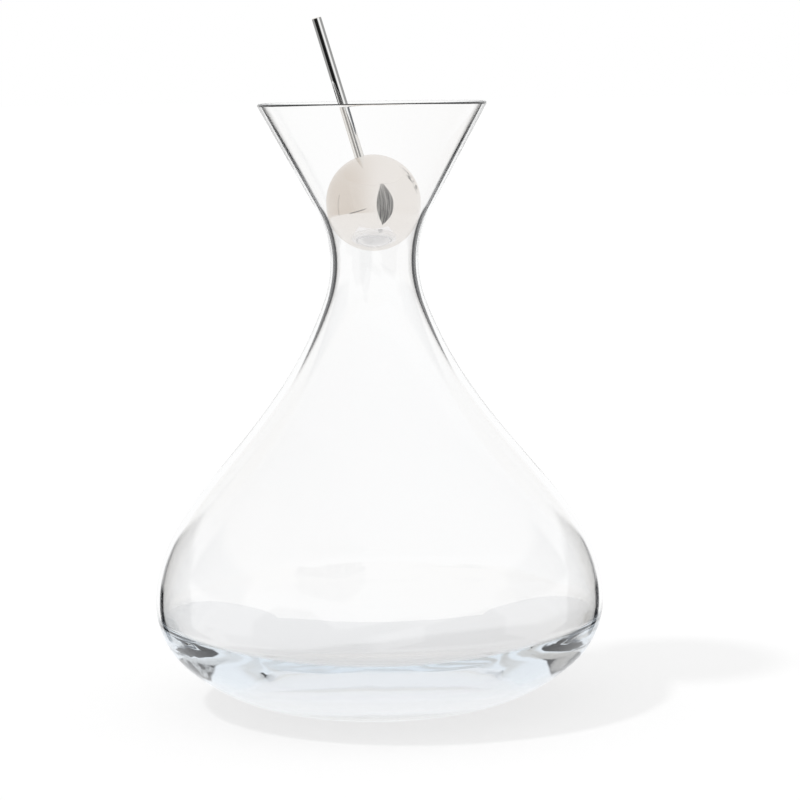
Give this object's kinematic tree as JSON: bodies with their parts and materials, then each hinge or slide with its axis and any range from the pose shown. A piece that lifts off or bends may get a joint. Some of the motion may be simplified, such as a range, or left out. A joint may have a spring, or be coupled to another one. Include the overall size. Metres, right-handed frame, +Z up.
{
  "type": "decanter",
  "caption": "Clear glass wine decanter with a wide low belly, slim neck and flared mouth, closed by a polished steel ball that sits in the neck and is lifted by a thin leaning rod.",
  "frame": {"origin": "centre of the foot, on the surface that the decanter stands on", "axes": "+Z up along the axis of the glass; the rod of the stopper leans towards -X in the XZ plane; the picture looks along +Y"},
  "size_m": [0.19, 0.19, 0.29],
  "materials": {
    "clear_glass": "clear blown glass, fire-polished lip",
    "polished_steel": "mirror-polished stainless steel",
    "rod_steel": "polished drawn stainless rod",
    "turned_steel": "as turned, hidden inside the ball"
  },
  "bodies": {
    "decanter": {"decanter_body": "clear_glass"},
    "stopper": {"ball_lower_shell": "polished_steel", "ball_upper_shell": "polished_steel", "rod_boss": "turned_steel", "handle_rod": "rod_steel"}
  },
  "joints": [
    {"name": "stopper_lift", "type": "slide", "parent": "decanter", "child": "stopper", "axis": [0, 0, 1], "range_m": [0, 0.09]}
  ]
}
